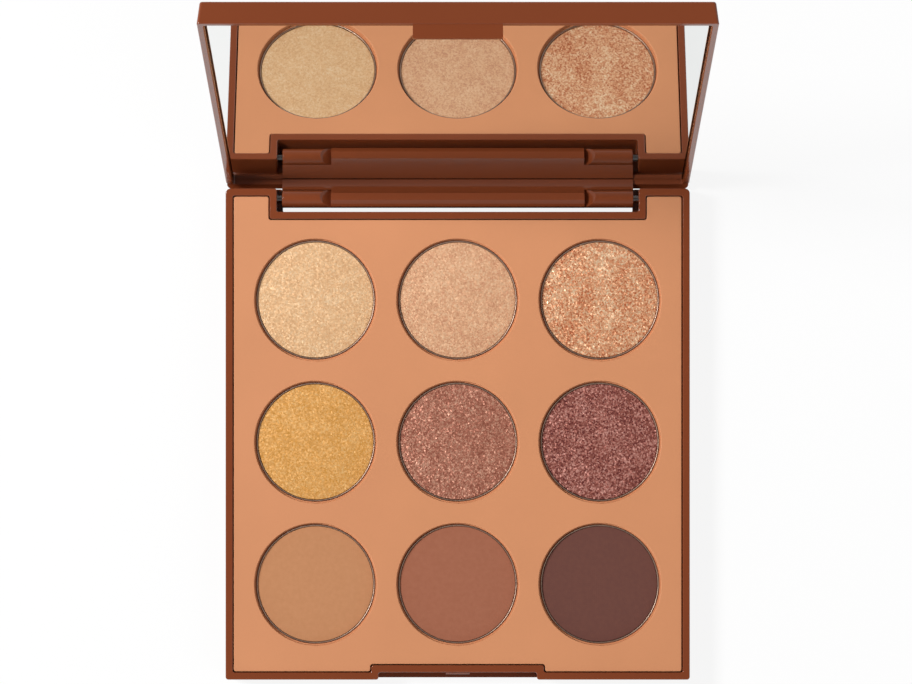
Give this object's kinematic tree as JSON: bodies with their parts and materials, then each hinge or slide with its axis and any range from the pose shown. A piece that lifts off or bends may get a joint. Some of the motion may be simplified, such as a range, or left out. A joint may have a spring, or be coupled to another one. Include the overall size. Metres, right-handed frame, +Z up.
{
  "type": "eyeshadow palette",
  "caption": "Square hinged makeup case, open, with round pans of pressed powder in a tan plate and a mirror in its lid.",
  "frame": {"origin": "centre of the base's underside", "axes": "+X to the user's right, +Y from the latch to the hinge, +Z up"},
  "size_m": [0.1014, 0.1398, 0.1058],
  "materials": {
    "case_brown": "gloss moulded",
    "plate_tan": "matte moulded",
    "glue": "clear, set",
    "pan_metal": "bright drawn",
    "pin_steel": "bright drawn",
    "mirror_glass": "silvered",
    "tape": "matte foam",
    "camel_powder": "pressed, matte",
    "red_brown_powder": "pressed, matte",
    "dark_brown_powder": "pressed, matte",
    "yellow_gold_powder": "pressed, satin shimmer",
    "rosy_brown_powder": "pressed, glitter",
    "plum_mauve_powder": "pressed, glitter",
    "champagne_powder": "pressed, fine shimmer",
    "rose_champagne_powder": "pressed, fine shimmer",
    "copper_gold_powder": "pressed, coarse glitter"
  },
  "bodies": {
    "base": {"base_shell": "case_brown", "pan_plate": "plate_tan", "pan_glue": "glue", "pan_front_left": "pan_metal", "pan_front_centre": "pan_metal", "pan_front_right": "pan_metal", "pan_middle_left": "pan_metal", "pan_middle_centre": "pan_metal", "pan_middle_right": "pan_metal", "pan_back_left": "pan_metal", "pan_back_centre": "pan_metal", "pan_back_right": "pan_metal", "powder_front_left": "camel_powder", "powder_front_centre": "red_brown_powder", "powder_front_right": "dark_brown_powder", "powder_middle_left": "yellow_gold_powder", "powder_middle_centre": "rosy_brown_powder", "powder_middle_right": "plum_mauve_powder", "powder_back_left": "champagne_powder", "powder_back_centre": "rose_champagne_powder", "powder_back_right": "copper_gold_powder", "hinge_pin_left": "pin_steel", "hinge_pin_right": "pin_steel"},
    "lid": {"lid_shell": "case_brown", "mirror": "mirror_glass", "mirror_tape": "tape"}
  },
  "joints": [
    {"name": "lid_hinge", "type": "hinge", "parent": "base", "child": "lid", "pos_m": [0, 0.05142, 0.00465], "axis": [-1, 0, 0], "range_deg": [-105.17, 0]}
  ]
}
